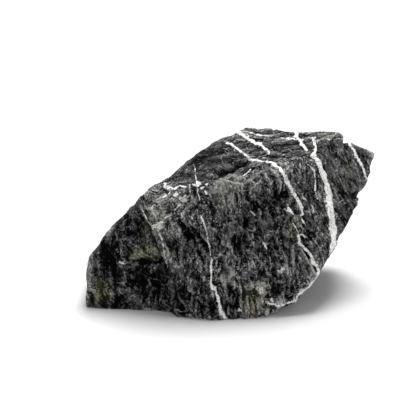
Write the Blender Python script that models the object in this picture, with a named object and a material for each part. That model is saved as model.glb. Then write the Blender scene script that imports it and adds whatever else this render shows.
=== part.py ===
"""One large seiryu stone: a dark, veined limestone block with a flat underside.

The block is drawn as the flat faces that a fracture leaves, then lumps and hollows, then the chips and
crests of its layered grain. Every point of the surface is found along a ray from the heart of the stone.
The long way is X, the broad front faces -Y, and the stone stands on z = 0.
"""

import math

import bmesh
import bpy
import numpy as np

MM = 0.001

# Driving dimensions
STONE_LENGTH = 0.240  # metres from the left end to the right tip
HEART_HEIGHT = 60.0  # millimetres from the underside to the point that all rays leave

# Mesh
CUTS = 47  # cuts along each edge of the starting cube
RAY_SPREAD = (1.5, 1.0, 1.0)  # the cube is stretched like the stone, so that its squares stay even
KEPT_SHARE = 0.32  # share of the triangles that is kept
SHARP_ABOVE = 28.0  # degrees between two triangles whose edge is shaded sharp
SMALLEST = 0.0001  # metres: shorter edges are dissolved
FLAT_BELOW = 0.0004  # metres: what lies lower belongs to the underside

# The flat faces of the stone: the block each one belongs to, the way it looks (degrees round from the front,
# degrees above level), how far it lies from the heart (mm), and which grain it shows. The stone is where
# either block is.
FACES = [
    ("main", "front_main", 10, 21, 36.5, "steep"),
    ("main", "front_brow", 4, 44, 43.5, "steep"),
    ("main", "front_left", -10, 18, 41.8, "steep"),
    ("main", "ridge_side", -75, -8, 65.0, "steep"),
    ("main", "shoulder", -20, 50, 52.0, "steep"),
    ("main", "top_left", -46, 60, 51.0, "facet"),
    ("main", "crest_left", -111, 45, 60.5, "level"),
    ("main", "crest_dip", -144, 66, 72.0, "level"),
    ("main", "top_band", -13, 70, 47.5, "level"),
    ("main", "crest_back", 180, 70, 82.5, "level"),
    ("main", "flank_near", 25, 28, 47.5, "steep"),
    ("main", "flank_far", 42, 22, 61.5, "flank"),
    ("main", "right_top", 118, 53, 117.0, "level"),
    ("main", "right_end", 85, -13, 106.0, "flank"),
    ("main", "right_under", 78, -29, 83.5, "flank"),
    ("main", "right_low", 71, -42, 82.8, "steep"),
    ("main", "right_foot", 59, -55, 79.2, "steep"),
    ("main", "toe", 12, -40, 86.0, "steep"),
    ("main", "back_main", 176, 10, 67.0, "slant"),
    ("main", "back_top", 165, 50, 84.0, "slant"),
    ("main", "back_right", 138, -4, 115.0, "slant"),
    ("main", "back_under", 160, -38, 83.5, "slant"),
    ("main", "back_low_left", -152, 18, 70.0, "slant"),
    ("main", "back_left_foot", -140, -20, 84.0, "slant"),
    ("main", "left_top", -115, 49, 60.5, "left"),
    ("left", "left_face", -8, 16, 34.5, "left"),
    ("left", "left_slope", -107, 39, 67.5, "left"),
    ("left", "left_edge", -102, 31, 82.0, "left"),
    ("left", "left_crown", -115, 49, 60.0, "left"),
    ("left", "left_end", -92, -4, 118.0, "left"),
    ("left", "left_back", -128, 14, 90.0, "left"),
    ("left", "left_low_back", -158, 30, 66.0, "slant"),
    ("left", "left_rear", -168, 4, 58.0, "slant"),
    ("left", "left_under", 172, -34, 76.0, "slant"),
    ("left", "left_lid", -20, 78, 38.0, "left"),
    ("left", "left_inner", 70, 20, 10.0, "slant"),
]
# How each face wanders in and out: waves over the heart's sphere, share of the reach, shift from face to
# face, and the noise's seed
WANDERS = [(2.6, 0.03, 5.1, 40), (6.5, 0.012, 3.3, 80)]
EDGE_SHARPNESS = 60  # higher makes the edges between the faces crisper
GRAIN_SHARPNESS = 18  # the same for the change from one grain to the next
BLOCK_BLEND = 4.0  # millimetres over which the grain changes where the two blocks meet

# Lumps (+) and hollows (-): centre and reach along X, Y and Z (mm), how firm the border is, and height (mm).
LUMPS = [
    ("left_foot", (-100, -42, 5), (20, 16, 12), 1, 2),
    ("left_recess", (-68, -44, 27), (17, 20, 20), 3, -13),
    ("left_ledge", (-77, -40, 55), (15, 20, 6), 1, 8),
    ("left_groove", (-35, -37, 62), (9, 20, 18), 1, -4),
    ("under_crest", (4, -12, 110), (17, 20, 7), 2, -8),
    ("vein_hollow", (47, -16, 95), (4, 16, 9), 1, -7),
    ("upper_hollow", (23, -26, 82), (26, 30, 18), 1, -4),
    ("pit_upper", (37, -18, 92), (4, 12, 10), 2, -5),
    ("pit_lower", (14, -40, 68), (4, 12, 12), 2, -4),
    ("tan_hollow", (18, -57, 17), (9, 12, 6), 2, -5),
    ("foot_pit", (37, -50, 20), (4, 12, 7), 2, -4),
    ("small_cavity", (61, -20, 58), (5, 12, 5), 2, -5),
    ("right_notch", (110, 26, 77), (5, 20, 5), 1, -6),
    ("top_notch", (97, 38, 121), (3, 20, 6), 1, -6),
    ("right_tip", (120, 44, 104), (10, 20, 10), 1, 2),
    ("right_crown", (80, 42, 128), (15, 22, 9), 1, 7),
    ("crest_knob", (10, 41, 129), (10, 16, 9), 2, 3),
    ("belly", (38, -44, 45), (24, 30, 24), 1, 3),
    ("saddle", (-46, 0, 103), (6, 22, 7), 1, -3),
    ("back_ridge", (-30, 66, 62), (9, 26, 34), 1, 7),
    ("back_pocket", (34, 66, 58), (24, 30, 20), 2, -8),
]

# Grain: the way that the crests and chips run on the faces that show it, and how rugged it is.
GRAINS = {
    "steep": ((0.16, -0.40, -0.90), 1.0),
    "level": ((1.00, 0.10, -0.08), 0.8),
    "slant": ((0.75, 0.10, -0.65), 1.0),
    "flank": ((0.45, -0.06, -0.85), 0.5),
    "facet": ((0.85, 0.10, 0.39), 0.4),
    "left": ((0.25, -0.35, -0.90), 0.55),
}
ASKEW = (0.31, 0.22, 1.0)  # a direction that no grain follows, from which the ways across it are found
SWELL_SIZE, SWELL_HEIGHT = 40.0, 2.0  # broad unevenness (mm)
SLAB_SIZE, SLAB_HEIGHT = (52.0, 24.0, 24.0), 2.9  # large chips, along and across the grain
CREST_SIZE, CREST_HEIGHT = (38.0, 13.0, 13.0), 2.2  # crests and grooves
CHIP_SIZE, CHIP_HEIGHT = (21.0, 9.0, 9.0), 1.1  # small chips
CHIP_CRISPNESS = 10.0  # higher makes the slopes between the chips shorter
CHIP_STRAY = 0.45  # how far a chip's middle strays, in cells
CHIP_STEP, CHIP_TILT = 0.6, 0.8  # how much the chips differ in height and in tilt
NOISE_GAIN = 1.7  # brings the noise to about -1 to 1
FINER = 2.03  # how much finer each octave of noise is than the last

STONE_COLOUR = (0.045, 0.045, 0.048, 1.0)
STONE_ROUGHNESS = 0.72


def clear_scene():
    """Removes every object that the file starts with."""
    for thing in list(bpy.data.objects):
        bpy.data.objects.remove(thing, do_unlink=True)


def facing(round_deg, up_deg):
    """Unit vector that looks that many degrees round from the front, and up."""
    turn, rise = math.radians(round_deg), math.radians(up_deg)
    return np.array(
        [math.sin(turn) * math.cos(rise), -math.cos(turn) * math.cos(rise), math.sin(rise)]
    )


def scrambled(i, j, k, seed):
    """A repeatable 32-bit whole number for each lattice point."""
    h = i.astype(np.uint32) * np.uint32(374761393)
    h = h + j.astype(np.uint32) * np.uint32(668265263)
    h = h + k.astype(np.uint32) * np.uint32(2246822519)
    h = h + np.uint32(seed * 3266489917 & 0xFFFFFFFF)
    h = (h ^ (h >> np.uint32(15))) * np.uint32(2246822519)
    h = (h ^ (h >> np.uint32(13))) * np.uint32(3266489917)
    return h ^ (h >> np.uint32(16))


def random_triple(lattice, seed):
    """Three numbers from -1 to 1 for each lattice point."""
    h = scrambled(*lattice.T, seed)
    return np.stack([(h >> np.uint32(s) & np.uint32(1023)) / 511.5 - 1 for s in (0, 10, 20)], -1)


def noise(points, seed):
    """Smooth noise, about -1 to 1: the pulls of the eight nearest lattice points, blended."""
    cell = np.floor(points).astype(np.int64)
    inside = points - cell
    blend = inside**3 * (inside * (inside * 6 - 15) + 10)
    total = np.zeros(len(points))
    for corner in np.ndindex(2, 2, 2):
        pull = random_triple(cell + corner, seed)
        weight = np.prod(np.where(corner, blend, 1 - blend), axis=1)
        total += weight * (pull * (inside - corner)).sum(1)
    return NOISE_GAIN * total


def swells(points, octaves, seed):
    """Noise on noise: each octave is half as large and half as high."""
    return sum(0.5**o * noise(points * FINER**o + 17.3 * o, seed + o) for o in range(octaves))


def crests(points, octaves, seed):
    """Folded noise: sharp crests where the noise passes through zero."""
    return sum(
        0.5**o * (0.7 - 2 * np.abs(noise(points * FINER**o + 11.7 * o, seed + o)))
        for o in range(octaves)
    )


def chips(points, seed):
    """Flat chips: each cell of a jittered lattice has its own height and tilt, with a short slope between."""
    cell = np.floor(points).astype(np.int64)
    height = np.zeros(len(points))
    weights = np.zeros(len(points))
    for step in np.ndindex(3, 3, 3):
        at = cell + np.array(step) - 1
        lean = random_triple(at, seed + 1)
        away = points - (at + 0.5 + CHIP_STRAY * random_triple(at, seed))
        weight = np.exp(-CHIP_CRISPNESS * (away**2).sum(1))
        height += weight * (CHIP_STEP * lean[:, 0] + CHIP_TILT * (lean * away).sum(1))
        weights += weight
    return height / weights


def grain_axes(direction):
    """Rows of a turned set of axes, the first along the grain."""
    along = np.array(direction, float)
    along /= np.linalg.norm(along)
    across = np.cross(along, ASKEW)
    across /= np.linalg.norm(across)
    return np.stack([along, across, np.cross(along, across)])


def nearest_face(rays, block):
    """Distance from the heart to one block along unit rays, and how much each face counts there.

    The distance is where the first of the block's faces is met, with the faces blended by a high power
    mean. Each face wanders a little in and out, so that no edge is a ruled line.
    """
    nearness = []
    for n, (owner, _, round_deg, up_deg, reach, _) in enumerate(FACES):
        if owner == block:
            wander = sum(
                share * noise(rays * waves + shift * n, seed + n) for waves, share, shift, seed in WANDERS
            )
            nearness.append(rays @ facing(round_deg, up_deg) / (reach * (1 + wander)))
        else:
            nearness.append(np.full(len(rays), 1e-9))
    nearness = np.clip(np.stack(nearness, 1), 1e-9, None)
    most = nearness.max(1)
    relative = nearness / most[:, None]
    distance = 1 / (most * (relative**EDGE_SHARPNESS).sum(1) ** (1 / EDGE_SHARPNESS))
    return distance, relative**GRAIN_SHARPNESS


def both_blocks(rays):
    """Distance along unit rays to the outer of the two blocks, and each grain's share there."""
    main, main_faces = nearest_face(rays, "main")
    left, left_faces = nearest_face(rays, "left")
    outer = np.clip((main - left) / BLOCK_BLEND, -0.5, 0.5)[:, None] + 0.5
    share = main_faces * outer + left_faces * (1 - outer)
    share /= share.sum(1)[:, None]
    grain_share = {
        grain: share[:, [n for n, face in enumerate(FACES) if face[5] == grain]].sum(1)
        for grain in GRAINS
    }
    return np.maximum(main, left), grain_share


def lumps(points):
    """Height of the named lumps and hollows: a bell-shaped rise or dip round each centre."""
    height = np.zeros(len(points))
    for _, centre, reach, firm, rise in LUMPS:
        away = (points - np.array(centre)) / reach
        height += rise * np.exp(-((away**2).sum(1) ** firm))
    return height


def grain_relief(points, grain_share):
    """Chips and crests that run with the grain of each face."""
    height = np.zeros(len(points))
    for n, (grain, (direction, rugged)) in enumerate(GRAINS.items()):
        turned = points @ grain_axes(direction).T
        height += rugged * grain_share[grain] * (
            SLAB_HEIGHT * chips(turned / SLAB_SIZE, 11 + 7 * n)
            + CREST_HEIGHT * crests(turned / CREST_SIZE, 2, 21 + 5 * n)
            + CHIP_HEIGHT * chips(turned / CHIP_SIZE, 61 + 7 * n)
        )
    return height


def stone_surface(rays):
    """Points of the stone along unit rays, in millimetres, cut off flat at z = 0."""
    heart = np.array([0.0, 0.0, HEART_HEIGHT])
    distance, grain_share = both_blocks(rays)
    points = heart + rays * distance[:, None]
    rise = lumps(points) + SWELL_HEIGHT * swells(points / SWELL_SIZE, 2, 3)
    rise += grain_relief(points, grain_share)
    to_floor = np.full(len(rays), np.inf)
    falling = rays[:, 2] < -1e-6
    to_floor[falling] = HEART_HEIGHT / -rays[falling, 2]
    return heart + rays * np.minimum(distance + rise, to_floor)[:, None]


def stone_mesh():
    """A finely cut cube whose every vertex is sent out along its ray to the stone's surface."""
    bm = bmesh.new()
    bmesh.ops.create_cube(bm, size=2.0)
    bmesh.ops.subdivide_edges(bm, edges=bm.edges[:], cuts=CUTS, use_grid_fill=True)
    mesh = bpy.data.meshes.new("stone_fine")
    bm.to_mesh(mesh)
    bm.free()
    flat = np.empty(len(mesh.vertices) * 3, np.float32)
    mesh.vertices.foreach_get("co", flat)
    rays = np.tan(flat.reshape(-1, 3).astype(float) * math.pi / 4) * RAY_SPREAD
    rays /= np.linalg.norm(rays, axis=1)[:, None]
    points = stone_surface(rays) * MM
    mesh.vertices.foreach_set("co", points.astype(np.float32).ravel())
    mesh.update()
    return mesh


def thinned(mesh):
    """The mesh with fewer triangles where it is flat, its underside level again."""
    fine = bpy.data.objects.new("stone_fine", mesh)
    bpy.context.scene.collection.objects.link(fine)
    decimate = fine.modifiers.new("thin", "DECIMATE")
    decimate.ratio = KEPT_SHARE
    graph = bpy.context.evaluated_depsgraph_get()
    thin = bpy.data.meshes.new_from_object(fine.evaluated_get(graph))
    bpy.data.objects.remove(fine, do_unlink=True)
    bm = bmesh.new()
    bm.from_mesh(thin)
    for vertex in bm.verts:
        if vertex.co.z < FLAT_BELOW:
            vertex.co.z = 0.0
    bmesh.ops.dissolve_degenerate(bm, edges=bm.edges[:], dist=SMALLEST)
    bmesh.ops.triangulate(bm, faces=bm.faces[:])
    bmesh.ops.recalc_face_normals(bm, faces=bm.faces[:])
    bm.to_mesh(thin)
    bm.free()
    return thin


def box_to_length(mesh):
    """Scales the mesh to the stone's length and puts its box's middle over the origin."""
    flat = np.empty(len(mesh.vertices) * 3, np.float32)
    mesh.vertices.foreach_get("co", flat)
    points = flat.reshape(-1, 3).astype(float)
    points *= STONE_LENGTH / np.ptp(points[:, 0])
    middle = (points.min(0) + points.max(0)) / 2
    points -= (middle[0], middle[1], 0.0)
    mesh.vertices.foreach_set("co", points.astype(np.float32).ravel())
    mesh.update()


def limestone():
    """Dark, matt limestone."""
    material = bpy.data.materials.new("dark_limestone")
    material.use_nodes = True
    shader = material.node_tree.nodes["Principled BSDF"]
    shader.inputs["Base Color"].default_value = STONE_COLOUR
    shader.inputs["Roughness"].default_value = STONE_ROUGHNESS
    shader.inputs["Metallic"].default_value = 0.0
    material.diffuse_color = STONE_COLOUR
    return material


def build_stone():
    """The stone, one solid in its own collection."""
    collection = bpy.data.collections.new("seiryu_stone")
    bpy.context.scene.collection.children.link(collection)
    mesh = thinned(stone_mesh())
    box_to_length(mesh)
    mesh.name = "stone"
    mesh.shade_smooth()
    mesh.set_sharp_from_angle(angle=math.radians(SHARP_ABOVE))
    mesh.materials.append(limestone())
    stone = bpy.data.objects.new("stone", mesh)
    collection.objects.link(stone)


clear_scene()
build_stone()
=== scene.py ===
"""The looks of one large seiryu stone: dark, rugged limestone crossed by white calcite veins.

The stone's skin is drawn in millimetres in a drawing frame, with the same faces, lumps, chips and crests as
the solid, and finer relief on top. It is then laid exactly over the solid. What shows on the front is placed
on the front view: millimetres to the right of the stone's foremost foot and up from it, as an eye sees them
that looks down at the stone a little.
"""

import math

import bpy
import numpy as np
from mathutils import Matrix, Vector


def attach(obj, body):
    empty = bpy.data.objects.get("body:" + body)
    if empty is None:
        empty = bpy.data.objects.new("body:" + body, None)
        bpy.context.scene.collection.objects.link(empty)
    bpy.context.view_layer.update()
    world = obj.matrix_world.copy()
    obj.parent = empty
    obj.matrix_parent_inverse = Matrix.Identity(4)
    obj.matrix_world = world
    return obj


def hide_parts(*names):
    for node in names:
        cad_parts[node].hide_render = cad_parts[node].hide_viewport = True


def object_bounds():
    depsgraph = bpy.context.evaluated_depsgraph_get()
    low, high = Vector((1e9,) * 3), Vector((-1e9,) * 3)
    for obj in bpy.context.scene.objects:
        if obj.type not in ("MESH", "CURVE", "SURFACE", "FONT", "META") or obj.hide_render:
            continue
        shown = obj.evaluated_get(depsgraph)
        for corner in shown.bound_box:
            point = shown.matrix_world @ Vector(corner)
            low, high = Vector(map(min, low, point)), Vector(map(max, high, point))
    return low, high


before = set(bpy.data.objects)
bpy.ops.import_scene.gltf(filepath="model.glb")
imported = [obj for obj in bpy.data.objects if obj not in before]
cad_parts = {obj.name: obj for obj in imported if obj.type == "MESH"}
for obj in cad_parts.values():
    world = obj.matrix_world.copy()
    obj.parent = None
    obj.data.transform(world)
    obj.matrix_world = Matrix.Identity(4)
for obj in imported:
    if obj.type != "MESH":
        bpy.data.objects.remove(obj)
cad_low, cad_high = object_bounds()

MM = 0.001

# The eye of the front view, in the drawing frame (mm)
EYE_ABOVE = 20.0  # degrees that the eye looks down
EYE_AWAY = 1150.0  # from the eye to the point that it aims at
AIM = (-24.1, 6.4, 77.6)
FOOT = (0.0, -62.0, 0.0)  # the foremost foot, where the front view's measures start
SENSOR, LENS = 36.0, 124.7  # the camera's, in its own millimetres

# The skin's grid of rays: a box round the heart, whose top is a grid and whose sides run down to the floor
HEART_HEIGHT = 60.0
BOX_HALF = (120.0, 70.0)
BOX_TOP = 69.0  # above the heart
TOP_CELLS = (200, 116)
SIDE_ROWS = 118
SLOPES = (-0.05, -2.6, 40)  # of the rays that look for the floor: the first, the last, and how many
HALVINGS = 12  # that narrow such a slope down

# The flat faces of the stone: the block each one belongs to, the way it looks (degrees round from the front,
# degrees above level), how far it lies from the heart (mm), and which grain it shows. The stone is where
# either block is.
FACES = [
    ("main", "front_main", 10, 21, 36.5, "steep"),
    ("main", "front_brow", 4, 44, 43.5, "steep"),
    ("main", "front_left", -10, 18, 41.8, "steep"),
    ("main", "ridge_side", -75, -8, 65.0, "steep"),
    ("main", "shoulder", -20, 50, 52.0, "steep"),
    ("main", "top_left", -46, 60, 51.0, "facet"),
    ("main", "crest_left", -111, 45, 60.5, "level"),
    ("main", "crest_dip", -144, 66, 72.0, "level"),
    ("main", "top_band", -13, 70, 47.5, "level"),
    ("main", "crest_back", 180, 70, 82.5, "level"),
    ("main", "flank_near", 25, 28, 47.5, "steep"),
    ("main", "flank_far", 42, 22, 61.5, "flank"),
    ("main", "right_top", 118, 53, 117.0, "level"),
    ("main", "right_end", 85, -13, 106.0, "flank"),
    ("main", "right_under", 78, -29, 83.5, "flank"),
    ("main", "right_low", 71, -42, 82.8, "steep"),
    ("main", "right_foot", 59, -55, 79.2, "steep"),
    ("main", "toe", 12, -40, 86.0, "steep"),
    ("main", "back_main", 176, 10, 67.0, "slant"),
    ("main", "back_top", 165, 50, 84.0, "slant"),
    ("main", "back_right", 138, -4, 115.0, "slant"),
    ("main", "back_under", 160, -38, 83.5, "slant"),
    ("main", "back_low_left", -152, 18, 70.0, "slant"),
    ("main", "back_left_foot", -140, -20, 84.0, "slant"),
    ("main", "left_top", -115, 49, 60.5, "left"),
    ("left", "left_face", -8, 16, 34.5, "left"),
    ("left", "left_slope", -107, 39, 67.5, "left"),
    ("left", "left_edge", -102, 31, 82.0, "left"),
    ("left", "left_crown", -115, 49, 60.0, "left"),
    ("left", "left_end", -92, -4, 118.0, "left"),
    ("left", "left_back", -128, 14, 90.0, "left"),
    ("left", "left_low_back", -158, 30, 66.0, "slant"),
    ("left", "left_rear", -168, 4, 58.0, "slant"),
    ("left", "left_under", 172, -34, 76.0, "slant"),
    ("left", "left_lid", -20, 78, 38.0, "left"),
    ("left", "left_inner", 70, 20, 10.0, "slant"),
]
# How each face wanders in and out: waves over the heart's sphere, share of the reach, shift from face to
# face, and the noise's seed
WANDERS = [(2.6, 0.03, 5.1, 40), (6.5, 0.012, 3.3, 80)]
EDGE_SHARPNESS = 60  # higher makes the edges between the faces crisper
GRAIN_SHARPNESS = 18  # the same for the change from one grain to the next
BLOCK_BLEND = 4.0  # millimetres over which the grain changes where the two blocks meet

# Lumps (+) and hollows (-): centre and reach along X, Y and Z (mm), how firm the border is, and height (mm).
LUMPS = [
    ("left_foot", (-100, -42, 5), (20, 16, 12), 1, 2),
    ("left_recess", (-68, -44, 27), (17, 20, 20), 3, -13),
    ("left_ledge", (-77, -40, 55), (15, 20, 6), 1, 8),
    ("left_groove", (-35, -37, 62), (9, 20, 18), 1, -4),
    ("under_crest", (4, -12, 110), (17, 20, 7), 2, -8),
    ("vein_hollow", (47, -16, 95), (4, 16, 9), 1, -7),
    ("upper_hollow", (23, -26, 82), (26, 30, 18), 1, -4),
    ("pit_upper", (37, -18, 92), (4, 12, 10), 2, -5),
    ("pit_lower", (14, -40, 68), (4, 12, 12), 2, -4),
    ("tan_hollow", (18, -57, 17), (9, 12, 6), 2, -5),
    ("foot_pit", (37, -50, 20), (4, 12, 7), 2, -4),
    ("small_cavity", (61, -20, 58), (5, 12, 5), 2, -5),
    ("right_notch", (110, 26, 77), (5, 20, 5), 1, -6),
    ("top_notch", (97, 38, 121), (3, 20, 6), 1, -6),
    ("right_tip", (120, 44, 104), (10, 20, 10), 1, 2),
    ("right_crown", (80, 42, 128), (15, 22, 9), 1, 7),
    ("crest_knob", (10, 41, 129), (10, 16, 9), 2, 3),
    ("belly", (38, -44, 45), (24, 30, 24), 1, 3),
    ("saddle", (-46, 0, 103), (6, 22, 7), 1, -3),
    ("back_ridge", (-30, 66, 62), (9, 26, 34), 1, 7),
    ("back_pocket", (34, 66, 58), (24, 30, 20), 2, -8),
]

# Grain: the way that the streaks, crests and chips run on the faces that show it, how rugged it is, and how
# far the finish draws its streaks out along it.
GRAINS = {
    "steep": ((0.16, -0.40, -0.90), 1.0, 1.9),
    "level": ((1.00, 0.10, -0.08), 0.8, 6.0),
    "slant": ((0.75, 0.10, -0.65), 1.0, 2.5),
    "flank": ((0.45, -0.06, -0.85), 0.5, 5.0),
    "facet": ((0.85, 0.10, 0.39), 0.4, 2.5),
    "left": ((0.25, -0.35, -0.90), 0.55, 2.2),
}
ASKEW = (0.31, 0.22, 1.0)  # a direction that no grain follows, from which the ways across it are found
SWELL_SIZE, SWELL_HEIGHT, SWELL_SEED = 40.0, 2.0, 3  # broad unevenness (mm), and its noise's seed
# Relief along the grain: what it is, its length along the grain, width across it and height (mm), and its
# noise's seed for the first grain and step from grain to grain. The fine relief is only in the skin.
RELIEF = [
    ("chips", 52.0, 24.0, 2.9, 11, 7),
    ("crests", 38.0, 13.0, 2.2, 21, 5),
    ("chips", 21.0, 9.0, 1.1, 61, 7),
]
FINE_RELIEF = [
    ("chips", 7.5, 4.2, 0.8, 111, 7),
    ("crests", 9.0, 5.0, 0.5, 141, 5),
    ("pores", 9.0, 4.8, -2.4, 171, 3),
    ("grit", 2.2, 1.7, 0.3, 191, 3),
]
LAYERS = ("crests", 34.0, 3.2, 0.55, 231, 3)  # thin layers, on the grains below
LAYERED = ("level", "flank")
PORE_RANGE = (0.22, 0.55)  # the noise at which a pore starts and is at its deepest
CHIP_CRISPNESS = 10.0  # higher makes the slopes between the chips shorter
CHIP_STRAY = 0.45  # how far a chip's middle strays, in cells
CHIP_STEP, CHIP_TILT = 0.6, 0.8  # how much the chips differ in height and in tilt
NOISE_GAIN = 1.7  # brings the noise to about -1 to 1
OCTAVES = 2  # of the swells and crests
FINER = 2.03  # how much finer each octave is than the last
SWELL_SHIFT, CREST_SHIFT = 17.3, 11.7  # from octave to octave, so that they never line up
CREST_TOP, CREST_SLOPE = 0.7, 2.0  # height of folded noise at its crests, and how fast it falls from them
SMALLEST = 1e-9  # keeps a division from meeting zero

SMOOTHED = 0.7  # share of the fine relief that a smooth facet loses
# The edge and crest numbers darken the colour in creases and hollows, painted shade, and lighten what stands
# out, as wear
EDGE_ROUNDS = 3  # how far round a point its surroundings are taken, in rounds: for its edges
CREST_ROUNDS = 24  # and for its crests

# Veins, drawn on the front view: how far each one goes ("through" the stone as a sheet, or only in its front
# "skin" or in the "face" nearest to the eye), how whole it is (1 is unbroken), and its course: mm to the
# right, mm up, mm wide.
VEINS = [
    ("thick_vein", "through", 1.0, [
        (70, 151, 1.5), (70.2, 146, 2.0), (70.8, 142, 2.2), (69.6, 137, 3.4), (73, 131.5, 4.4),
        (77, 121.5, 4.2), (79.7, 112.6, 4.4), (82, 102.7, 4.9), (83, 93.8, 5.3), (84, 83.7, 5.8),
        (85.2, 77, 6.2), (86.3, 70.4, 5.4), (86.3, 63.7, 5.2), (84, 58, 3.4), (82.4, 54.3, 1.0),
    ]),
    ("right_vein", "face", 1.0, [
        (96, 152, 2.4), (99.1, 146, 2.8), (103, 139.4, 2.8), (107.5, 130.4, 2.4), (111.9, 120.4, 1.9),
        (115.2, 112.6, 1.3), (117.5, 107, 0.8),
    ]),
    ("crest_vein", "through", 0.95, [
        (-3.7, 146.8, 0.9), (0, 146, 1.6), (3, 144.9, 1.9), (9.6, 138.8, 2.2), (17.4, 132.6, 2.0),
        (24, 132.6, 1.2), (34, 130.4, 1.8), (40.7, 126.6, 2.6), (46.3, 117.1, 3.0), (50.8, 108.2, 3.4),
        (56.4, 100.4, 3.8), (59.7, 93.8, 3.0), (60.2, 89.3, 2.0), (59.7, 86, 1.4), (62.4, 79.3, 1.2),
    ]),
    ("low_vein", "through", 0.95, [
        (56.9, 70.4, 1.2), (57.4, 63.7, 2.4), (61.8, 60.4, 3.4), (66.3, 54.9, 3.4), (70, 47.6, 2.8),
        (73, 41.5, 2.8), (73, 36.5, 2.6), (70, 32, 2.4), (65, 27.2, 2.2), (57, 21.5, 2.0),
        (54.1, 16, 1.6), (47.4, 13.6, 1.4), (38.5, 12, 1.2), (33, 13.7, 1.4), (29.6, 14.9, 0.9),
    ]),
    ("upper_vein", "through", 0.95, [
        (-2, 160, 2.6), (0.7, 156.4, 2.8), (7.4, 154.9, 2.8), (16.3, 149.3, 2.6), (24, 145.4, 2.6),
        (29.6, 142.1, 2.0), (33, 139.4, 0.8),
    ]),
    ("short_vein", "through", 0.95, [
        (54, 157, 2.6), (56.4, 150.5, 3.0), (59.1, 146.6, 3.0), (63.6, 141.5, 1.6),
    ]),
    ("left_vein_top", "through", 0.6, [
        (-29.3, 127, 0.5), (-28.2, 119.5, 0.8), (-27.4, 114.5, 1.2), (-26.6, 107.9, 1.1), (-26.1, 100.4, 0.7),
    ]),
    ("left_vein", "through", 0.9, [
        (-24, 86.3, 0.8), (-22, 81.3, 1.8), (-20.4, 75.5, 1.3), (-19.5, 71.4, 0.9), (-17.2, 62.7, 1.5),
        (-16, 57.1, 0.8),
        (-15.4, 50.4, 1.0), (-16.2, 44.8, 1.8), (-15.8, 37, 1.8), (-15.4, 29.3, 1.8), (-12, 23.7, 2.4),
        (-9.3, 14.9, 2.5), (-7, 7.1, 3.2), (-3.7, 0.9, 2.4), (-2.5, -3, 1.5),
    ]),
    ("crest_thread_left", "skin", 0.5, [
        (11, 157.5, 0.8), (18, 155, 1.4), (27.4, 153, 1.3), (34, 151.5, 0.7),
    ]),
    ("crest_thread", "skin", 0.5, [
        (38, 151.2, 0.6), (45, 150.6, 1.1), (55, 150, 1.1), (64, 150.5, 0.6), (76, 150.6, 0.6),
        (92, 149.9, 0.6),
    ]),
    ("vein_side_thread", "skin", 0.75, [
        (63.9, 129.5, 0.6), (69.7, 123.7, 0.9), (70.6, 116.2, 1.0), (71.4, 110.4, 1.4), (71.9, 103.8, 1.2),
        (72.6, 101, 0.6),
    ]),
    ("side_thread_low", "skin", 0.7, [(68, 96, 0.7), (68.4, 92, 1.2), (68.6, 89, 0.7)]),
    ("side_thread_left", "skin", 0.7, [(60.2, 104.2, 0.7), (61.5, 102, 1.1), (62.8, 99.5, 0.6)]),
    ("side_thread_right", "skin", 0.6, [(78.5, 99.4, 0.6), (80.5, 90, 0.9), (82, 81.5, 0.6)]),
    ("flank_thread", "skin", 0.65, [(104, 100.4, 0.7), (106.5, 96.5, 0.8), (109.5, 92.6, 0.6)]),
    ("brow_thread", "skin", 0.8, [(11.5, 120, 0.8), (14.2, 121.7, 1.3), (17, 124.4, 0.8)]),
    ("ridge_thread", "skin", 0.35, [
        (-63, 93, 1.0), (-60, 76.4, 1.0), (-55, 58, 0.9), (-51.5, 43, 0.8),
    ]),
    ("shoulder_edge", "skin", 0.6, [
        (-52, 110.5, 0.8), (-46.5, 108.7, 1.3), (-41.5, 111.2, 1.2), (-36.5, 110.4, 0.9),
    ]),
    ("shoulder_hook", "skin", 0.5, [(-33.2, 111.2, 0.5), (-34, 103.8, 0.7), (-36.5, 98.8, 0.9)]),
    ("shoulder_ridge", "skin", 0.6, [(-64, 98.8, 0.6), (-54, 102.9, 0.8), (-49.8, 105.4, 0.9)]),
    ("shoulder_low_edge", "skin", 0.7, [(-64, 78, 0.6), (-59.8, 80, 1.0), (-55.5, 81.3, 0.9)]),
    ("shoulder_low_side", "skin", 0.6, [(-55.6, 80.5, 0.8), (-59.8, 73.9, 0.6)]),
    ("shoulder_line", "skin", 0.8, [(-54.8, 83, 0.5), (-52, 85.6, 0.9), (-49, 88, 0.6)]),
    ("facet_left_edge", "skin", 0.6, [(-74, 93, 0.6), (-70, 86, 1.0), (-66, 79, 0.9), (-63, 74, 0.6)]),
    ("facet_low_edge", "skin", 0.7, [(-49, 88, 0.6), (-44, 93, 1.0), (-39.3, 97.9, 0.7)]),
    ("pale_chip_a", "skin", 0.95, [(47.5, 92.6, 1.6), (49, 90.3, 3.0), (51.5, 87.6, 1.4)]),
    ("pale_chip_b", "skin", 0.9, [(54, 79.6, 1.4), (55.3, 77, 2.6), (57.4, 73.8, 1.4)]),
    ("cavity_rim", "skin", 0.95, [
        (57, 64, 1.4), (56.4, 68, 1.6), (58.2, 70.8, 1.4), (61, 71.2, 1.0), (63, 69.5, 0.7),
    ]),
    ("middle_speck_a", "skin", 0.9, [(17, 90.5, 0.8), (18.3, 89.4, 1.6), (20, 87.6, 0.8)]),
    ("middle_speck_b", "skin", 0.9, [(28.4, 63, 0.8), (29.4, 61, 1.5), (30.4, 59, 0.8)]),
    ("left_speck", "skin", 1.0, [(-91, 48.8, 1.2), (-89.9, 48.2, 2.2), (-88.8, 47.6, 1.2)]),
]
VEIN_TAPER = 1.5  # millimetres over which a vein's end fades
VEIN_REACH = 5.0  # millimetres past which the distance to a vein no longer counts
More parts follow.
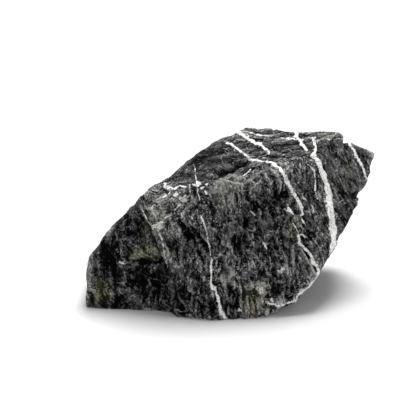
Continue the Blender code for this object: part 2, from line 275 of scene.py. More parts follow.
# How veins, patches and pits wander about where they are drawn: wave length, how far (mm), and seed
VEIN_WAVES = [(11.0, 0.9, 201), (3.5, 0.45, 203)]
PATCH_WAVES = [(6.0, 3.0, 221)]
PIT_WAVES = [(5.0, 1.6, 211)]
VEIN_RISE = 0.25  # millimetres that the calcite stands proud
VEIN_SLOPE = 0.4  # millimetres inside and outside a vein's border, over which it rises
VEIN_SMOOTHED = 0.6  # share of the fine relief that a vein loses
VEIN_FAINTEST = 0.02  # what is less whole than this doesn't count

# Patches, drawn on the front view, by what they are: each one's middle (mm to the right and up), half width,
# half height, and how much it counts. Pale, olive and tan ones are stains, dark and light ones make the rock
# darker or lighter, smooth ones have less relief, chalk is white fragments, and flecked ones have a rougher
# grain. The dark ones in the recess and under the top-left facet are painted shade.
PATCHES = {
    "pale": [
        ("brow_pale", (-5, 105), (11, 11), 1.0),
        ("brow_pale_middle", (2, 114), (10, 8), 1.0),
        ("brow_pale_high", (9, 120), (7, 5), 0.55),
        ("left_vein_side", (-1, 37), (7, 10), 0.85),
        ("shoulder_facet", (-60.6, 88), (9, 11), 0.9),
        ("shoulder_facet_high", (-58, 100), (9, 4), 0.8),
        ("low_right_pale", (47, 42), (10, 4), 0.6),
        ("cavity_pale", (52, 83), (6, 9), 0.6),
        ("foot_streaks", (33, 18), (10, 6), 0.4),
        ("left_ledge_pale", (-68, 54), (11, 5), 0.8),
        ("crest_left_pale", (-70, 92), (8, 8), 0.5),
        ("ridge_pale_high", (-60, 74), (5, 12), 0.7),
        ("ridge_pale_low", (-55, 54), (4, 12), 0.5),
        ("low_pale", (22, 24), (14, 8), 0.6),
    ],
    "olive": [
        ("left_ledge", (-70, 55), (15, 7), 1.0),
        ("left_foot", (-105, 24), (11, 13), 0.9),
        ("left_bend", (-66, 74), (10, 10), 0.5),
        ("low_olive", (20, 18), (15, 12), 0.7),
        ("cavity_olive", (53, 76), (8, 12), 0.6),
        ("right_flank", (97, 124), (9, 20), 0.35),
        ("brow_olive", (-6, 115), (6, 4), 0.5),
        ("crest_right", (80, 153), (16, 4), 0.5),
    ],
    "tan": [
        ("tan_foot", (19, 7), (4, 6), 0.7),
        ("tan_right", (28, 19), (8, 4), 0.4),
    ],
    "dark": [
        # painted shade in the recess
        ("recess", (-68, 27), (20, 20), 1.0),
        ("left_face", (-96, 50), (17, 30), 0.95),
        ("left_low", (-92, 12), (30, 11), 1.0),
        ("left_low_middle", (-90, 36), (14, 14), 1.0),
        ("left_top_edge", (-100, 72), (12, 8), 0.5),
        # painted shadow under the top-left facet
        ("under_facet", (-32, 118), (24, 6), 0.55),
        ("top_left", (-16, 134), (24, 11), 0.3),
        # painted shadow under the top-left facet's edge
        ("facet_foot", (-16, 119), (9, 5), 0.5),
        ("left_mid", (-42, 62), (9, 9), 0.4),
        ("pit_column", (27, 92), (9, 20), 0.45),
        ("middle", (10, 60), (11, 8), 0.35),
        ("right_end", (108, 116), (7, 11), 0.2),
        # painted shade in the right of the recess
        ("recess_right", (-50, 20), (14, 16), 0.8),
        ("left_upper", (-80, 76), (12, 14), 0.65),
        ("low_middle", (44, 28), (10, 13), 0.8),
        ("low_left", (4, 14), (8, 15), 0.95),
        ("left_bottom", (-22, 14), (12, 12), 0.5),
    ],
    "light": [
        ("upper_right", (54, 122), (22, 12), 0.6),
        ("upper_face", (36, 114), (12, 8), 0.45),
        ("band_right", (84, 144), (14, 9), 0.3),
        ("flank_high", (95, 113), (9, 14), 0.9),
        ("brow_right", (21, 117), (9, 8), 0.5),
        ("shoulder", (-38, 91), (17, 13), 0.85),
        ("left_vein_high", (-31, 82), (8, 10), 0.3),
        ("left_ledge", (-72, 55), (14, 6), 0.4),
        ("blobs", (-16, 104), (12, 7), 0.5),
        ("middle_high", (14, 92), (6, 8), 0.4),
        ("middle_left", (-4, 79), (12, 12), 0.25),
        ("brow_low", (-3, 99), (12, 7), 0.5),
        ("low_middle_left", (7, 40), (10, 10), 0.35),
        ("left_vein_side", (-7, 47), (7, 8), 0.5),
    ],
    "smooth": [
        ("top_left", (-12, 137), (24, 11), 1.0),
        ("flank", (98, 112), (18, 34), 0.6),
        ("top_band", (66, 144), (34, 8), 0.5),
    ],
    "chalk": [
        ("shoulder_chip_a", (-54, 111.2), (3.6, 2.4), 1.0),
        ("shoulder_chip_b", (-46.9, 102.9), (2.8, 2.6), 1.0),
        ("shoulder_chip_c", (-37.8, 99.6), (2.6, 2.6), 0.9),
        ("shoulder_chip_d", (-63.9, 92.1), (1.6, 4.0), 1.0),
        ("shoulder_chip_e", (-67.2, 92.1), (2.4, 3.0), 0.7),
        ("shoulder_chip_f", (-60.4, 77.6), (4.2, 2.8), 0.75),
        ("vein_blob_a", (-27.4, 112.9), (3.0, 1.8), 0.8),
        ("vein_blob_b", (-20.8, 104.2), (1.8, 1.8), 0.8),
        ("vein_blob_c", (-18.3, 112), (1.6, 1.6), 0.7),
        ("vein_blob_d", (-21.5, 109), (1.6, 1.6), 0.6),
        ("shoulder_spot_a", (-31.5, 86.7), (2.8, 2.0), 0.8),
        ("shoulder_spot_b", (-39, 86), (2.6, 2.0), 0.55),
        ("foot_chip_a", (33.2, 14.9), (4.2, 1.8), 0.9),
        ("foot_chip_b", (44, 42.5), (3, 1.4), 0.8),
        ("foot_chip_c", (24.9, 24), (3, 3), 0.6),
        ("foot_chip_d", (9, 6), (3, 2), 0.7),
        ("foot_chip_e", (60, 24), (4, 4), 0.5),
        ("middle_chip_a", (47.5, 91.5), (2, 2.6), 0.6),
        ("left_low_chip", (-97, 8), (5, 2), 0.6),
    ],
    "flecked": [
        ("shoulder", (-48, 95), (26, 22), 1.0),
        ("upper_face", (25, 110), (24, 14), 0.9),
        ("low_face", (22, 32), (34, 22), 0.8),
        ("left_face", (-90, 40), (24, 36), 0.5),
    ],
}
BELL_FIRMNESS = 1.5  # of patches and pits; higher makes their borders firmer

# Pits, drawn on the front view: middle (mm to the right and up), half width, half height, lean (degrees
# that the top leans to the left) and depth (mm). Each pit also darkens the colour by its depth: painted
# shade.
PITS = [
    ("high_pit", (41, 105), (4.5, 5.5), 15, 4.0),
    ("high_pit_left", (21.6, 95.5), (2.5, 4), 10, 2.5),
    ("middle_pit_a", (13.3, 80.5), (2.5, 5), 10, 2.5),
    ("middle_pit_b", (3.3, 64.3), (3, 5.5), 5, 3.0),
    ("middle_pit_c", (12.5, 67.6), (2, 5), 5, 2.0),
    ("middle_pit_d", (23.2, 67.6), (2, 5), 10, 2.0),
    ("right_pit_a", (37, 88.9), (2.5, 6), 12, 3.0),
    ("right_pit_b", (28, 88.9), (2, 6), 12, 2.5),
    ("vein_side_pit", (64.5, 61.4), (2.5, 6), 20, 3.0),
    ("round_cavity", (60.2, 68), (2.2, 2.5), 0, 4.0),
    ("low_pit_a", (26.4, 36.5), (4, 4), 10, 2.0),
    ("low_pit_b", (39.5, 22), (5, 6), 10, 3.0),
    ("left_vein_pit", (0, 23), (3, 7), 15, 2.5),
    ("tan_pit", (18.3, 21.7), (5, 3), 0, 2.5),
    ("diagonal_groove", (-37, 73), (3.2, 15), 36, 4.5),
    ("diagonal_groove_right", (-28, 69), (2.6, 13), 36, 4.0),
    ("diagonal_groove_high", (-31, 92), (2, 8), -30, 2.0),
    ("under_shoulder_edge", (-55, 106.5), (7, 1.6), 18, 2.0),
    ("under_facet", (1.7, 125.3), (11, 2.6), 27, 3.0),
    ("under_facet_left", (-12, 118.5), (6, 2.4), 10, 2.0),
    ("notch_pit", (105, 103.8), (4, 3), 30, 3.0),
    ("ledge_shade", (-70, 48.5), (13, 2.5), 0, 3.0),
    ("left_crack", (-85.5, 44), (0.9, 26), 13, 2.2),
    ("recess_rib_a", (-72, 27), (1.2, 14), 3, 1.8),
    ("recess_rib_b", (-64, 27), (1.2, 14), 3, 1.8),
]
PIT_SHADE = 3.0  # millimetres of depth at which a pit's painted shade is fully dark
SKIN_DEPTH = (4.0, 14.0)  # along the line of sight, where what lies only in the front skin fades out
FACE_DEPTH = (-2.0, 1.5)  # the same for what lies only in the face nearest to the eye


def grey(value, warm=0.0):
    """A linear grey, warmer or cooler."""
    return (value * (1 + warm), value * (1 + 0.35 * warm), value * (1 - warm), 1.0)


# The finish. Its noises: waves per millimetre, how many finer ones are added, and how much those count.
NOISES = {
    # Streaks, drawn out along the grain
    "broad": (0.14, 3, 0.65),
    "thin": (0.45, 2, 0.8),
    "pitted": (0.2, 3, 0.7),
    "cracks": (0.07, 3, 0.6),
    # Clouds, the same in every direction
    "mottle": (0.035, 3, 0.6),
    "grit": (0.62, 2, 0.8),
    "fleck": (0.45, 2, 0.85),
    "calm": (0.055, 2, 0.5),
    "cracked": (0.06, 2, 0.55),
    "speckled": (0.09, 2, 0.55),
    "stain_border": (0.14, 3, 0.7),
    "chalk_border": (0.35, 3, 0.75),
    "vein_border": (0.8, 2, 0.75),
    "vein_bulges": (0.25, 2, 0.55),
    "vein_gaps": (0.32, 3, 0.65),
    "worn": (0.7, 4, 0.75),
}
# The values at which something begins to show and shows fully, from above where the first is the larger
SHOWS = {
    "pitted": (0.437, 0.387), "calm": (0.44, 0.58), "crack": (0.014, 0.003), "cracked": (0.44, 0.56),
    "bright": (1.1, 1.9), "hairline_gaps": (0.35, 0.55), "stain": (0.15, 1.0), "in_stain": (0.0, 0.3),
    "chalk": (0.35, 0.65), "in_chalk": (0.0, 0.2), "speck": (0.42, 0.15), "speck_lot": (0.68, 0.76),
    "speckled": (0.4, 0.6), "calcite": (0.2, -0.4), "vein_whole": (0.2, 0.5),
}
# How far clouds swing what they are added to
SWINGS = {
    "stain_border": 2.0, "chalk_border": 3.0, "vein_border": 2.2, "vein_bulges": 2.4, "vein_gaps": 1.3,
}
DRIFT = (0.05, 9.0)  # noise that carries streaks and clouds about: waves per millimetre, and how far (mm)
JAG = (0.3, 5.0)  # the same for the borders of the plates
PLATES, SPECKS_AND_GLINTS = 0.17, 0.55  # per millimetre
# Hairlines: waves per millimetre, width, shift (mm), the noise of their regions, and where that shows
HAIRLINES = [
    (0.055, 0.016, 3.0, (0.05, 2, 0.55), (0.48, 0.62)),
    (0.035, 0.010, 41.0, (0.07, 2, 0.55), (0.5, 0.6)),
]
HAIRLINE_WAVER, HAIRLINE_CORE = (2, 0.5), 0.2  # finer waves and how much they count; share that is full

# The tone, from dark to light: where it starts, and what each noise and each number kept by the mesh adds
TONE_START = 0.67
TONE_SWINGS = {"mottle": 1.4, "broad": 1.8, "plate": 0.8}
FINE_SWINGS = {"thin": 3.6, "grit": 3.9}
# edge and crest: painted shade in creases and hollows, lighter worn edges and crests; dark: dark patches and
# pits, partly painted shade
TONE_ADDED = {"edge": 0.8, "crest": 0.18, "light": 0.5, "dark": -0.65, "smooth": -0.3}
PITTED_DARKER, CRACKS_DARKER = 0.75, 1.1
CALM_LESS = {"fine": 0.45, "pitted": 0.5}  # what calm regions take away
SMOOTH_LESS = {"swings": 0.3, "pitted": 0.8, "specks": 0.7}  # what smooth patches take away
FLECKED_MORE = {"fine": 0.5, "specks": 0.14}  # what flecked patches add
BRIGHT_SWING, BRIGHT_DARK, BRIGHT_SMOOTH = 3.6, 0.5, 0.25  # bright grains: swing, and less on dark and smooth
SPECK_AND_GLINT_SWING = 1.6  # of the specks' outlines
# How fully the bright grains, hairlines (and less on dark ones), stains and specks (mineral specks and
# painted glints) cover what is below
BRIGHT_COVER, HAIRLINE_COVER, HAIRLINE_DARK, STAIN_COVER, SPECK_AND_GLINT_COVER = 0.9, 0.55, 0.3, 0.85, 0.8
BRIGHT, HAIRLINE, SPECK_AND_GLINT = grey(0.34, 0.02), grey(0.42, 0.02), grey(0.42, 0.01)
# Colours that run from a low one to a high one, and between which values
RAMPS = {
    "rock": ((-0.1, 1.4), grey(0.001, -0.06), grey(0.095, -0.01)),
    "pale": ((-0.2, 1.3), (0.080, 0.081, 0.074, 1.0), (0.30, 0.302, 0.272, 1.0)),
    "olive": ((-0.2, 1.3), (0.022, 0.022, 0.011, 1.0), (0.20, 0.20, 0.12, 1.0)),
    "tan": ((-0.2, 1.3), (0.030, 0.020, 0.010, 1.0), (0.20, 0.14, 0.075, 1.0)),
    "chalk": ((0.3, 0.6), grey(0.16, 0.03), grey(0.66, 0.03)),
    "calcite": ((0.34, 0.54), grey(0.22, 0.02), grey(0.80, 0.015)),
}
VEIN_SHARE = 0.9  # of a vein's width, from which its rough border swings out and in
ROUGHNESS, GRIT_SHINE, CALCITE_ROUGHER = 0.7, 0.3, 0.1
SPECULAR = 0.02
BUMP_HEIGHT = 0.0016  # metres
BUMPS = {"thin": 0.6, "grit": 0.4, "broad": 0.9, "plate": 0.7, "pitted": -0.4, "cracks": -0.5}

FLOOR_HALF = 6.0  # metres
FLOOR_DROP = 0.0002  # metres below the underside, so that the two never meet in one plane
FLOOR_COLOUR, FLOOR_ROUGHNESS = grey(0.48), 0.7
LAMPS = [  # name, place (m), side (m), watts
    ("overhead", (0.5, 1.9, 3.8), 2.0, 375.0),
    ("front_fill", (1.4, -2.4, 1.2), 1.8, 33.0),
]
LAMP_TARGET = (0.0, 0.0, 0.06)  # metres
WORLD_LIGHT = 0.45


def facing(round_deg, up_deg):
    """Unit vector that looks that many degrees round from the front, and up."""
    turn, rise = math.radians(round_deg), math.radians(up_deg)
    return np.array(
        [math.sin(turn) * math.cos(rise), -math.cos(turn) * math.cos(rise), math.sin(rise)]
    )


def scrambled(i, j, k, seed):
    """A repeatable 32-bit whole number for each lattice point; its large factors only stir the bits."""
    h = i.astype(np.uint32) * np.uint32(374761393)
    h = h + j.astype(np.uint32) * np.uint32(668265263)
    h = h + k.astype(np.uint32) * np.uint32(2246822519)
    h = h + np.uint32(seed * 3266489917 & 0xFFFFFFFF)
    h = (h ^ (h >> np.uint32(15))) * np.uint32(2246822519)
    h = (h ^ (h >> np.uint32(13))) * np.uint32(3266489917)
    return h ^ (h >> np.uint32(16))


def random_triple(lattice, seed):
    """Three numbers from -1 to 1 for each lattice point, each from ten bits."""
    h = scrambled(*lattice.T, seed)
    return np.stack([(h >> np.uint32(s) & np.uint32(1023)) / 511.5 - 1 for s in (0, 10, 20)], -1)


def noise(points, seed):
    """Smooth noise, about -1 to 1: the pulls of the eight nearest lattice points, blended by a smooth S."""
    cell = np.floor(points).astype(np.int64)
    inside = points - cell
    blend = inside**3 * (inside * (inside * 6 - 15) + 10)
    total = np.zeros(len(points))
    for corner in np.ndindex(2, 2, 2):
        pull = random_triple(cell + corner, seed)
        weight = np.prod(np.where(corner, blend, 1 - blend), axis=1)
        total += weight * (pull * (inside - corner)).sum(1)
    return NOISE_GAIN * total


def swells(points, seed):
    """Noise on noise: each octave is half as large and half as high."""
    return sum(0.5**o * noise(points * FINER**o + SWELL_SHIFT * o, seed + o) for o in range(OCTAVES))


def crests(points, seed):
    """Folded noise: sharp crests where the noise passes through zero."""
    return sum(
        0.5**o * (CREST_TOP - CREST_SLOPE * np.abs(noise(points * FINER**o + CREST_SHIFT * o, seed + o)))
        for o in range(OCTAVES)
    )


def chips(points, seed):
    """Flat chips: each cell of a jittered lattice has its own height and tilt, with a short slope between."""
    cell = np.floor(points).astype(np.int64)
    height = np.zeros(len(points))
    weights = np.zeros(len(points))
    for step in np.ndindex(3, 3, 3):
        at = cell + np.array(step) - 1
        lean = random_triple(at, seed + 1)
        away = points - (at + 0.5 + CHIP_STRAY * random_triple(at, seed))
        weight = np.exp(-CHIP_CRISPNESS * (away**2).sum(1))
        height += weight * (CHIP_STEP * lean[:, 0] + CHIP_TILT * (lean * away).sum(1))
        weights += weight
    return height / weights


def eased(values, start, end):
    """0 before start, 1 past end, and a smooth S between them; it falls where end comes first."""
    t = np.clip((values - start) / (end - start), 0, 1)
    return t * t * (3 - 2 * t)


def grain_axes(direction):
    """Rows of a turned set of axes, the first along the grain."""
    along = np.array(direction, float)
    along /= np.linalg.norm(along)
    across = np.cross(along, ASKEW)
    across /= np.linalg.norm(across)
    return np.stack([along, across, np.cross(along, across)])


def nearest_face(rays, block):
    """Distance from the heart to one block along unit rays, and how much each face counts there.

    The distance is where the first of the block's faces is met, with the faces blended by a high power
    mean. Each face wanders a little in and out, so that no edge is a ruled line.
    """
    nearness = []
    for n, (owner, _, round_deg, up_deg, reach, _) in enumerate(FACES):
        if owner == block:
            wander = sum(
                share * noise(rays * waves + shift * n, seed + n) for waves, share, shift, seed in WANDERS
            )
            nearness.append(rays @ facing(round_deg, up_deg) / (reach * (1 + wander)))
        else:
            nearness.append(np.full(len(rays), SMALLEST))
    nearness = np.clip(np.stack(nearness, 1), SMALLEST, None)
    most = nearness.max(1)
    relative = nearness / most[:, None]
    distance = 1 / (most * (relative**EDGE_SHARPNESS).sum(1) ** (1 / EDGE_SHARPNESS))
    return distance, relative**GRAIN_SHARPNESS


def both_blocks(rays):
    """Distance along unit rays to the outer of the two blocks, and each grain's share there."""
    main, main_faces = nearest_face(rays, "main")
    left, left_faces = nearest_face(rays, "left")
    outer = np.clip((main - left) / BLOCK_BLEND, -0.5, 0.5)[:, None] + 0.5
    share = main_faces * outer + left_faces * (1 - outer)
    share /= share.sum(1)[:, None]
    grain_share = {
        grain: share[:, [n for n, (*_, shown) in enumerate(FACES) if shown == grain]].sum(1)
        for grain in GRAINS
    }
    return np.maximum(main, left), grain_share


def lumps(points):
    """Height of the named lumps and hollows: a bell-shaped rise or dip round each centre."""
    height = np.zeros(len(points))
    for _, centre, reach, firm, rise in LUMPS:
        away = (points - np.array(centre)) / reach
        height += rise * np.exp(-((away**2).sum(1) ** firm))
    return height


def pores(points, seed):
    """1 in scattered hollows, 0 elsewhere."""
    return eased(noise(points, seed), *PORE_RANGE)


KINDS = {"chips": chips, "crests": crests, "pores": pores, "grit": noise}


def relief(turned, n, rows):
    """Height of some kinds of relief, at points turned to the axes of the grain with that number."""
    return sum(
        height * KINDS[kind](turned / (along, across, across), seed + step * n)
        for kind, along, across, height, seed, step in rows
    )


def both_reliefs(points, grain_share):
    """The relief and the fine relief that run with the grain of each face."""
    coarse, fine = np.zeros((2, len(points)))
    for n, (grain, (direction, rugged, _)) in enumerate(GRAINS.items()):
        turned = points @ grain_axes(direction).T
        coarse += rugged * grain_share[grain] * relief(turned, n, RELIEF)
        fine += rugged * grain_share[grain] * relief(turned, n, FINE_RELIEF)
        if grain in LAYERED:
            fine += grain_share[grain] * relief(turned, n, [LAYERS])
    return coarse, fine


def sight_axes():
    """The front view's own axes in the drawing frame: to the right, up, and back towards the eye."""
    down = math.radians(EYE_ABOVE)
    right = np.array([1.0, 0.0, 0.0])
    back = np.array([0.0, -math.cos(down), math.sin(down)])
    return right, np.cross(back, right), back


def front_view(points):
    """Where the eye sees each point: mm to the right of the foremost foot and up from it.

    The point is carried along its line of sight to the card that goes through the aim and faces the eye.
    """
    right, up, back = sight_axes()

    def on_card(places):
        away = places - np.array(AIM)
        grown = EYE_AWAY / (EYE_AWAY - away @ back)
        return away @ right * grown, away @ up * grown

    across, height = on_card(points)
    foot_across, foot_height = on_card(np.array([FOOT]))
    return across - foot_across, height - foot_height


def wandering(points, waves):
    """Where the eye sees each point, pushed about by smooth noise, so that drawn outlines wander."""
    across, height = front_view(points)
    for length, far, seed in waves:
        across = across + far * noise(points / length, seed)
        height = height + far * noise(points / length, seed + 1)
    return across, height


def front_share(points, depths=SKIN_DEPTH):
    """1 on the side that the front view shows, 0 past those depths along the line of sight."""
    _, _, back = sight_axes()
    return eased(-points @ back, depths[1], depths[0])


def to_course(across, height, course):
    """Signed distance to a course, half its width there, and how far inside its ends a point is (1 to 0).

    Each stretch of the course is a straight line. The nearest stretch counts: the distance square to it,
    or to its end where two stretches meet.
    """
    best = np.full(len(across), np.inf)
    signed, width, inside = np.zeros((3, len(across)))
    last = len(course) - 2
    for n, ((x0, y0, w0), (x1, y1, w1)) in enumerate(zip(course, course[1:])):
        length = math.hypot(x1 - x0, y1 - y0)
        along = ((across - x0) * (x1 - x0) + (height - y0) * (y1 - y0)) / length
        side = ((across - x0) * (y1 - y0) - (height - y0) * (x1 - x0)) / length
        before, past = np.clip(-along, 0, None), np.clip(along - length, 0, None)
        off_end = before * (n == 0) + past * (n == last)
        off_joint = before * (n > 0) + past * (n < last)
        away = side**2 + before**2 + past**2
        closer = away < best
        best = np.where(closer, away, best)
        signed = np.where(closer, np.where(side < 0, -1, 1) * np.hypot(side, off_joint), signed)
        width = np.where(closer, 0.5 * (w0 + (w1 - w0) * np.clip(along / length, 0, 1)), width)
        inside = np.where(closer, np.clip(1 - off_end / VEIN_TAPER, 0, 1), inside)
    return signed, width, inside


def veins(points):
    """Signed distance to the nearest vein, half its width, and how whole it is there (0 to 1)."""
    across, height = wandering(points, VEIN_WAVES)
    front = {"through": 1.0, "skin": front_share(points), "face": front_share(points, FACE_DEPTH)}
    nearest = np.full(len(points), VEIN_REACH)
    width, whole = np.zeros((2, len(points)))
    for _, extent, wholeness, course in VEINS:
        signed, half, inside = to_course(across, height, course)
        there = wholeness * inside * front[extent]
        closer = (np.abs(signed) - half < np.abs(nearest) - width) & (there > VEIN_FAINTEST)
        nearest = np.where(closer, signed, nearest)
        width = np.where(closer, half, width)
        whole = np.where(closer, there, whole)
    return np.clip(nearest, -VEIN_REACH, VEIN_REACH), width, whole


def bell(across, height, middle, reach):
    """1 at the middle, falling to 0 past the reach, sideways and upwards."""
    off = ((across - middle[0]) / reach[0]) ** 2 + ((height - middle[1]) / reach[1]) ** 2
    return np.exp(-(off**BELL_FIRMNESS))


def patches(points):
    """How much each kind of patch counts at each point: the strongest bell of that kind."""
    across, height = wandering(points, PATCH_WAVES)
    front = front_share(points)
    return {
        kind: front * np.max([amount * bell(across, height, *spot) for _, *spot, amount in listed], 0)
        for kind, listed in PATCHES.items()
    }


def pits(points):
    """Depth of the named pits (mm): a firm bell round each middle, turned by its lean."""
    across, height = wandering(points, PIT_WAVES)
    depth = np.zeros(len(points))
    for _, (x, y), reach, lean, deep in PITS:
        turn = math.radians(lean)
        sideways = (across - x) * math.cos(turn) + (height - y) * math.sin(turn)
        upwards = (height - y) * math.cos(turn) - (across - x) * math.sin(turn)
        depth = np.maximum(depth, deep * bell(sideways, upwards, (0, 0), reach))
    return depth * front_share(points)


def stone_surface(rays):
    """Points of the skin along unit rays, in millimetres, cut off flat at z = 0, and what they show there.

    The distance along a ray is that of the two blocks, plus lumps and swells, plus relief along the grain,
    plus fine relief, which smooth patches have less of, plus the rise of the veins. The signed distance to
    a vein is kept as the cosine and sine of an angle that makes half a turn at VEIN_REACH, so no false
    vein shows midway between two veins, where the distance changes its sign.
    """
    heart = np.array([0.0, 0.0, HEART_HEIGHT])
    distance, grain_share = both_blocks(rays)
    points = heart + rays * distance[:, None]
    coarse, fine = both_reliefs(points, grain_share)
    rise = lumps(points) + SWELL_HEIGHT * swells(points / SWELL_SIZE, SWELL_SEED) + coarse
    plain = heart + rays * (distance + rise)[:, None]
    shown = patches(plain)
    from_vein, half_vein, whole = veins(plain)
    sunk = pits(plain)
    # Painted shade: each pit darkens the colour by its depth, carried in the dark share
    shown["dark"] = np.maximum(shown["dark"], np.clip(sunk / PIT_SHADE, 0, 1))
    fine = fine * (1 - SMOOTHED * shown["smooth"]) - sunk
    calcite = whole * eased(np.abs(from_vein) - half_vein, VEIN_SLOPE, -VEIN_SLOPE)
    to_floor = np.full(len(rays), np.inf)
    falling = rays[:, 2] < -SMALLEST
    to_floor[falling] = HEART_HEIGHT / -rays[falling, 2]
    reach = distance + rise + fine * (1 - VEIN_SMOOTHED * calcite) + VEIN_RISE * calcite
    skin = heart + rays * np.minimum(reach, to_floor)[:, None]
    turn = from_vein * math.pi / VEIN_REACH
    return skin, {
        **grain_share,
        **shown,
        "vein": np.column_stack([np.cos(turn), np.sin(turn), half_vein]),
        "whole": whole,
        "rise": rise + fine,
        "free": to_floor - reach,
    }


def unit(vectors):
    """The same directions, one long."""
    return vectors / np.linalg.norm(vectors, axis=-1)[..., None]


def floor_slopes(corners):
    """For each point of the box's outline, the slope at which the skin first reaches the floor.

    Slopes are tried from nearly level down, and the first one at which the floor is nearer than the stone
    is narrowed down by halving.
    """
    flat = np.hypot(corners[:, 0], corners[:, 1])

    def clearance(slopes):
        rays = unit(np.column_stack([corners, slopes * flat]))
        return stone_surface(rays)[1]["free"]

    tries = np.linspace(*SLOPES)
    on_floor = np.stack([clearance(np.full(len(corners), s)) for s in tries]) < 0
    first = on_floor.argmax(0)
    low, high = tries[first], tries[np.maximum(first - 1, 0)]
    for _ in range(HALVINGS):
        middle = (low + high) / 2
        down = clearance(middle) < 0
        low, high = np.where(down, middle, low), np.where(down, high, middle)
    return low * flat


def skin_mesh():
    """The skin's points, its faces and what it shows: a grid of rays through a box round the heart.

    The box's top is a grid of cells. Its four sides are rings of points round the box, from the top's
    border down to where the skin reaches the floor, and a fan closes the flat underside.
    """
    share = 1.0
    nx, ny, rows = (int(n * share) for n in (*TOP_CELLS, SIDE_ROWS))
    x = np.linspace(-BOX_HALF[0], BOX_HALF[0], nx + 1)
    y = np.linspace(-BOX_HALF[1], BOX_HALF[1], ny + 1)
    top = np.stack([*np.meshgrid(x, y, indexing="ij"), np.full((nx + 1, ny + 1), BOX_TOP)], -1)
    number = np.arange((nx + 1) * (ny + 1)).reshape(nx + 1, ny + 1)
    border = np.concatenate([number[:-1, 0], number[-1, :-1], number[:0:-1, -1], number[0, :0:-1]])
    outline = top.reshape(-1, 3)[border]
    bottom = floor_slopes(outline[:, :2])
    down = (np.arange(rows) + 1)[:, None] / rows
    sides = np.stack([
        np.broadcast_to(outline[:, 0], (rows, len(outline))),
        np.broadcast_to(outline[:, 1], (rows, len(outline))),
        BOX_TOP + (bottom - BOX_TOP) * down,
    ], -1)
    rays = unit(np.concatenate([top.reshape(-1, 3), sides.reshape(-1, 3), [[0.0, 0.0, -1.0]]]))
    points, shown = stone_surface(rays)
    middle = len(points) - 1
    rings = np.concatenate([border[None], number.size + np.arange(sides[..., 0].size).reshape(rows, -1)])
    turned = np.roll(rings, -1, axis=1)
    quads = np.concatenate([
        np.stack([number[:-1, :-1], number[1:, :-1], number[1:, 1:], number[:-1, 1:]], -1).reshape(-1, 4),
        np.stack([rings[:-1], rings[1:], turned[1:], turned[:-1]], -1).reshape(-1, 4),
    ])
    fan = np.stack([np.full(len(border), middle), turned[-1], rings[-1]], -1)
    points[rings[-1], 2] = 0.0
    points[middle] = (0.0, 0.0, 0.0)
    # Painted shade and wear: below zero in creases and hollows, which the finish darkens, above zero on edges
    # and crests, which it lightens
    outwards = unit(points - (0.0, 0.0, HEART_HEIGHT))
    around = np.stack([surroundings(points[:, n], quads, EDGE_ROUNDS) for n in range(3)], 1)
    shown["edge"] = ((points - around) * outwards).sum(1)
    shown["crest"] = shown["rise"] - surroundings(shown["rise"], quads, CREST_ROUNDS)
    return points, quads, fan, shown


def surroundings(values, quads, rounds):
    """The mean of each point's surroundings: that of its neighbours, taken over and over."""
    ends = np.concatenate([quads[:, [n, (n + 1) % 4]] for n in range(4)])
    count = np.bincount(ends.ravel(), minlength=len(values)).clip(1)
    mean = values
    for _ in range(rounds):
        total = np.bincount(ends[:, 0], mean[ends[:, 1]], len(mean))
        total += np.bincount(ends[:, 1], mean[ends[:, 0]], len(mean))
        mean = total / count
    return mean


def mesh_of(name, points, quads, triangles):
    """A Blender mesh of those points, four-sided faces and triangles."""
    mesh = bpy.data.meshes.new(name)
    corners = np.concatenate([quads.ravel(), triangles.ravel()])
    starts = np.concatenate([
        np.arange(len(quads)) * 4,
        len(quads) * 4 + np.arange(len(triangles)) * 3,
    ])
    mesh.vertices.add(len(points))
    mesh.vertices.foreach_set("co", points.astype(np.float32).ravel())
    mesh.loops.add(len(corners))
    mesh.loops.foreach_set("vertex_index", corners.astype(np.int32))
    mesh.polygons.add(len(starts))
    mesh.polygons.foreach_set("loop_start", starts.astype(np.int32))
    mesh.update(calc_edges=True)
    mesh.validate()
    return mesh


def give(mesh, name, values):
    """Keeps a number for each vertex under that name, or three for each."""
    values = np.asarray(values, np.float32)
    if values.ndim == 1:
        mesh.attributes.new(name, "FLOAT", "POINT").data.foreach_set("value", values)
    else:
        mesh.attributes.new(name, "FLOAT_VECTOR", "POINT").data.foreach_set("vector", values.ravel())


class Placement:
    """Carries the drawing frame's millimetres to the solid's place, in metres."""

    def __init__(self, points):
        low, high = points.min(0), points.max(0)
        self.scale = (cad_high[0] - cad_low[0]) / (high[0] - low[0])
        middle = (low + high) / 2
        self.shift = np.array([
            (cad_low[0] + cad_high[0]) / 2 - middle[0] * self.scale,
            (cad_low[1] + cad_high[1]) / 2 - middle[1] * self.scale,
            cad_low[2],
        ])

    def carried(self, points):
        """Those points, in metres at the solid's place."""
        return np.asarray(points) * self.scale + self.shift


class Signal:
    """A number that varies over the surface: a node's output, with arithmetic that adds Math nodes."""

    def __init__(self, finish, socket):
        self.finish = finish
        self.socket = socket

    def math(self, operation, *values):
        return self.finish.node("ShaderNodeMath", {"operation": operation}, dict(enumerate(values)))

    def __add__(self, other):
        return self.math("ADD", self, other)

    def __sub__(self, other):
        return self.math("SUBTRACT", self, other)

    def __mul__(self, other):
        return self.math("MULTIPLY", self, other)

    def __truediv__(self, other):
        return self.math("DIVIDE", self, other)

    def __radd__(self, other):
        return self.math("ADD", other, self)

    def __rsub__(self, other):
        return self.math("SUBTRACT", other, self)

    def __rmul__(self, other):
        return self.math("MULTIPLY", other, self)

    def __abs__(self):
        return self.math("ABSOLUTE", self)

    def most(self, other):
        """The larger of the two."""
        return self.math("MAXIMUM", self, other)

    def swing(self, far):
        """How far a noise from 0 to 1 is from its middle, times a weight."""
        return (self - 0.5) * far

    def eased(self, start, end):
        """0 before start and 1 past end, with a smooth S between them."""
        settings = {"interpolation_type": "SMOOTHSTEP", "clamp": True}
        if start < end:
            return self.finish.node("ShaderNodeMapRange", settings, {0: self, 1: start, 2: end})
        return 1 - self.finish.node("ShaderNodeMapRange", settings, {0: self, 1: end, 2: start})


